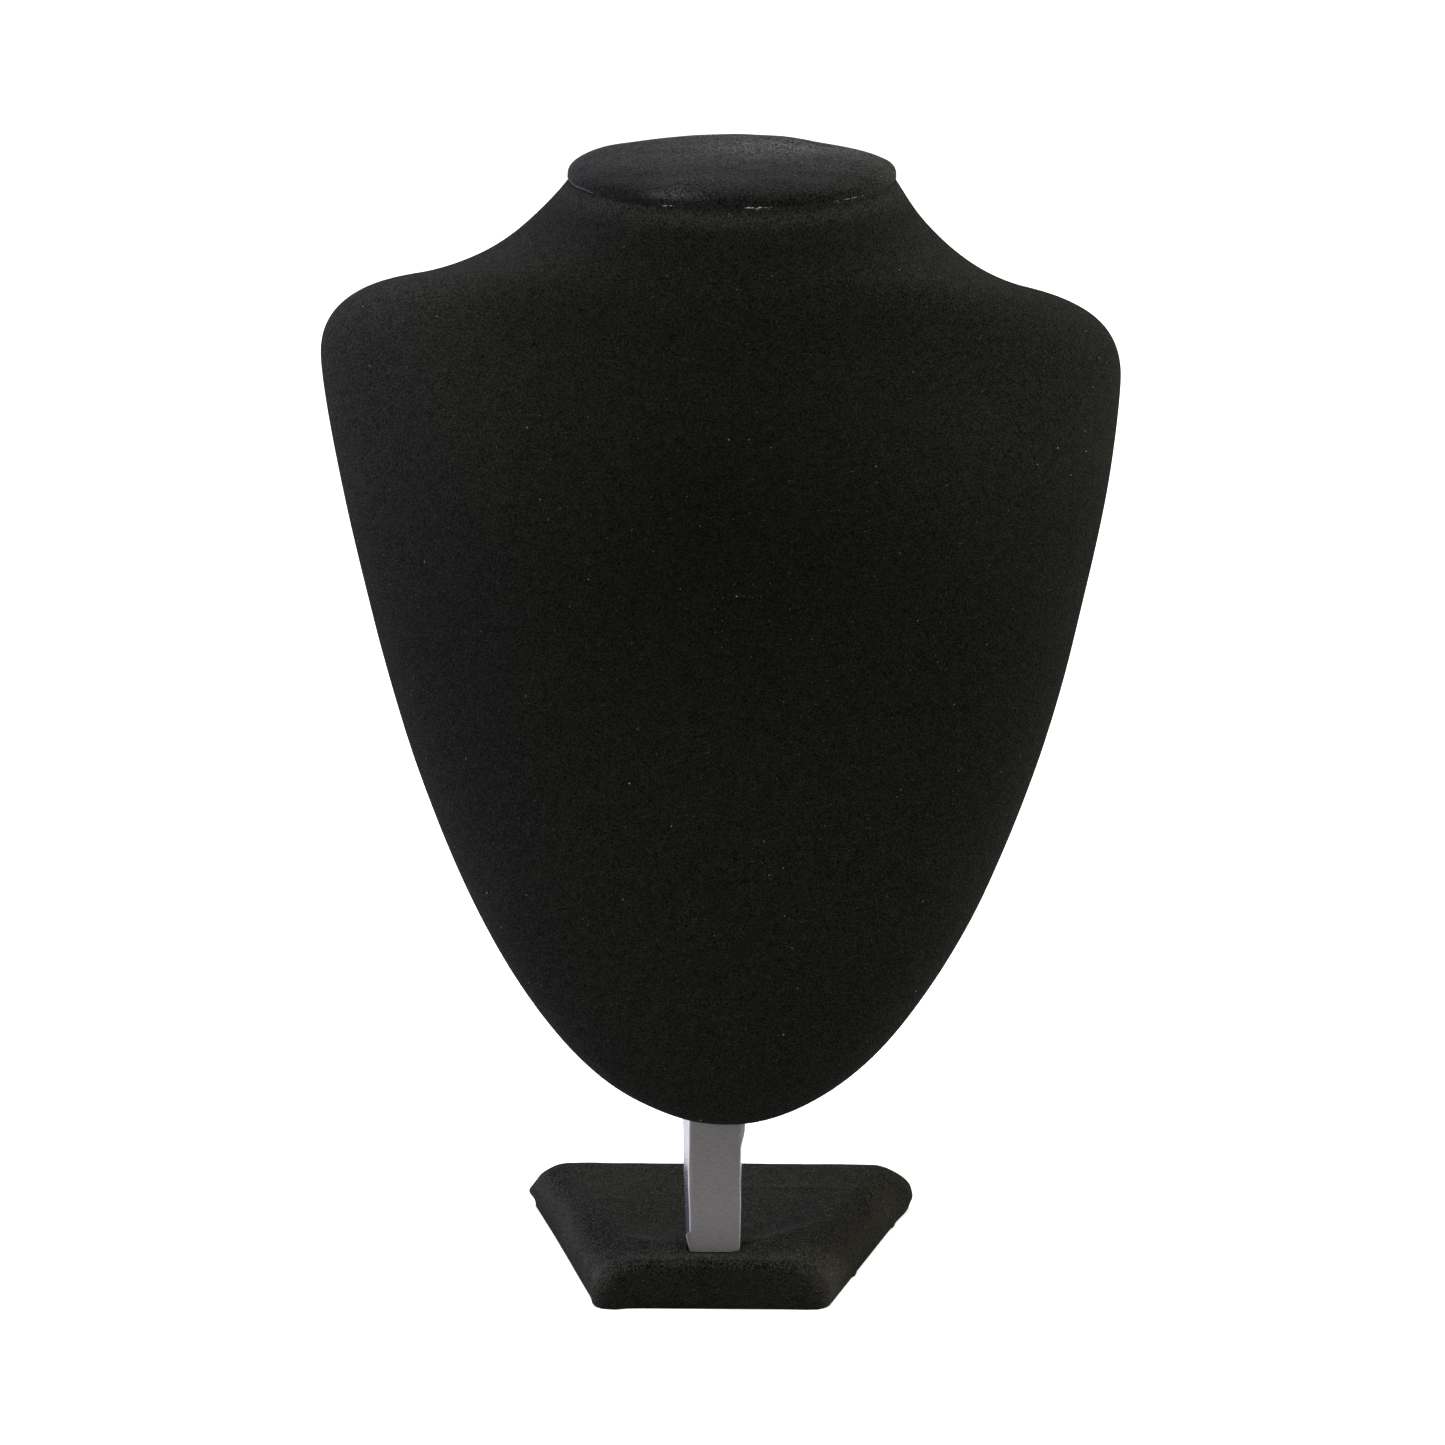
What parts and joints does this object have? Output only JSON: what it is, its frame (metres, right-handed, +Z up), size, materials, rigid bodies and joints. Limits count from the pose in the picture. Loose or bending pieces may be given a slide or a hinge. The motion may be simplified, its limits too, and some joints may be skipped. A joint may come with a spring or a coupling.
{
  "type": "necklace stand",
  "caption": "Velvet-covered necklace bust with sloping shoulders and a short capped neck, leaning back on a flat strut in a small tapered base.",
  "frame": {"origin": "middle of the base's underside, on the table", "axes": "+Z up, -Y out of the front that shows the necklace, +X to the viewer's right"},
  "size_m": [0.2231, 0.102, 0.3183],
  "materials": {
    "shell": "raw moulded shell, hidden under the velvet",
    "velvet": "short-pile black velvet",
    "cap_velvet": "short-pile black velvet, paler where it faces up",
    "base_velvet": "short-pile black velvet with lint",
    "board": "plain fibreboard",
    "back_card": "matt black card",
    "wrap": "matt grey covering paper",
    "screw": "zinc-plated"
  },
  "bodies": {
    "root": {"bust_shell": "shell", "bust_velvet": "velvet", "neck_board": "board", "neck_cap_velvet": "cap_velvet", "back_cover": "back_card", "bust_batten": "board", "strut_bar": "board", "strut_wrap": "wrap", "bust_screws": "screw", "base_board": "board", "base_velvet": "base_velvet", "base_sheet": "back_card", "base_screw": "screw"}
  },
  "joints": []
}
